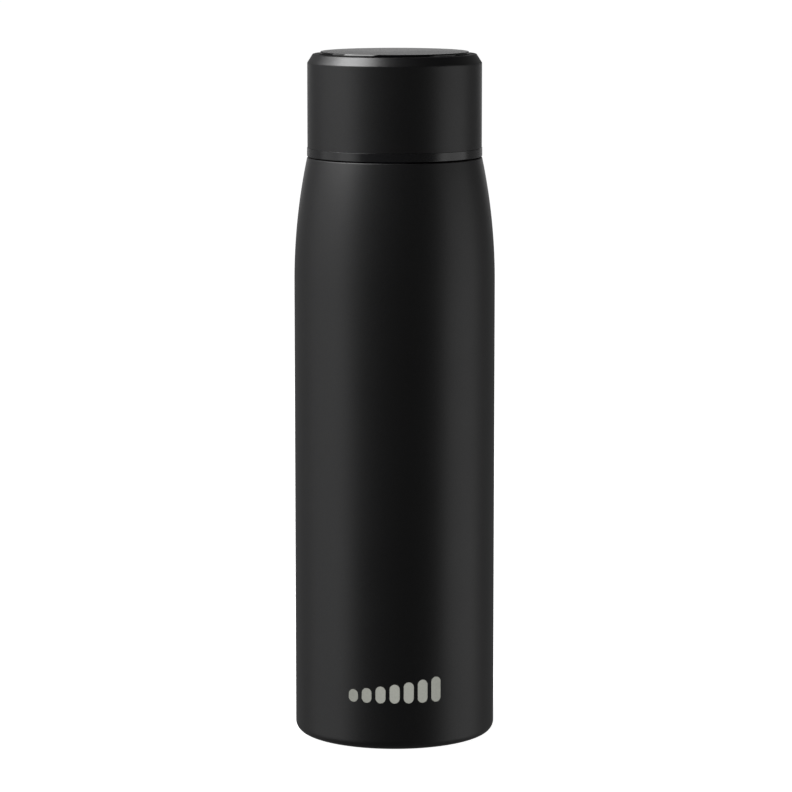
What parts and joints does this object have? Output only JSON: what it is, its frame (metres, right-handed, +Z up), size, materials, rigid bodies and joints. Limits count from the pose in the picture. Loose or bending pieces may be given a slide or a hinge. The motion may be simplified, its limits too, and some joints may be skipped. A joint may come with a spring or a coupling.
{
  "type": "vacuum flask",
  "caption": "Slim steel vacuum flask with a curved shoulder and a screw lid whose black touch window shows the drink's temperature.",
  "frame": {"origin": "centre of the base, in the plane that the foot rests on", "axes": "+Z up along the flask's axis, towards the lid's window; -Y is the front of the display"},
  "size_m": [0.0662, 0.0662, 0.227],
  "materials": {
    "black_paint": "matte black powder coat",
    "bare_steel": "bare stainless steel",
    "copper": "copper foil",
    "getter_metal": "sintered metal",
    "seal_glass": "fused glass bead",
    "silicone": "translucent silicone",
    "black_polypropylene": "satin moulded plastic",
    "gloss_black": "polished black",
    "lens_black": "black window, gloss",
    "tape": "adhesive foam tape",
    "smoked_film": "smoked diffuser film",
    "white_plastic": "white reflector block",
    "led_chip": "phosphor chip",
    "board_green": "solder mask",
    "chip_black": "moulded epoxy",
    "gilt_contact": "plated contact",
    "screw_steel": "nickel plated",
    "white_foam": "closed-cell foam",
    "gasket_rubber": "black rubber",
    "potting": "cured potting compound",
    "red_wire": "wire insulation"
  },
  "bodies": {
    "flask": {"outer_shell": "black_paint", "threaded_neck": "bare_steel", "inner_liner": "bare_steel", "liner_bottom": "bare_steel", "copper_foil": "copper", "outer_bottom": "bare_steel", "getter_holder": "bare_steel", "getter_pellet": "getter_metal", "glass_seal": "seal_glass", "base_cover": "bare_steel"},
    "seal": {"seal_ring": "silicone"},
    "lid": {"threaded_cap": "black_polypropylene", "lid_sleeve": "black_paint", "bezel_ring": "gloss_black", "display_lens": "lens_black", "lens_tape": "tape", "display_film": "smoked_film", "display_reflector": "white_plastic", "segment_leds": "led_chip", "circuit_board": "board_green", "controller_chip": "chip_black", "touch_spring": "gilt_contact", "coin_cell": "bare_steel", "positive_tab": "gilt_contact", "negative_tab": "gilt_contact", "electronics_tray": "black_polypropylene", "tray_screws": "screw_steel", "board_screws": "screw_steel", "insulation_pad": "white_foam", "sensor_plate": "bare_steel", "sensor_gasket": "gasket_rubber", "thermistor": "chip_black", "thermal_potting": "potting", "thermistor_leads": "red_wire"}
  },
  "joints": [
    {"name": "lid_rise", "type": "slide", "parent": "flask", "child": "seal", "axis": [0, 0, 1], "range_m": [0, 0.018]},
    {"name": "lid_turn", "type": "hinge", "parent": "seal", "child": "lid", "pos_m": [0, 0, 0.2], "axis": [0, 0, 1], "range_deg": [0, 1080]}
  ],
  "couplings": [
    {"joint": "lid_rise", "follows": "lid_turn", "m_per_rad": 0.00095493}
  ]
}
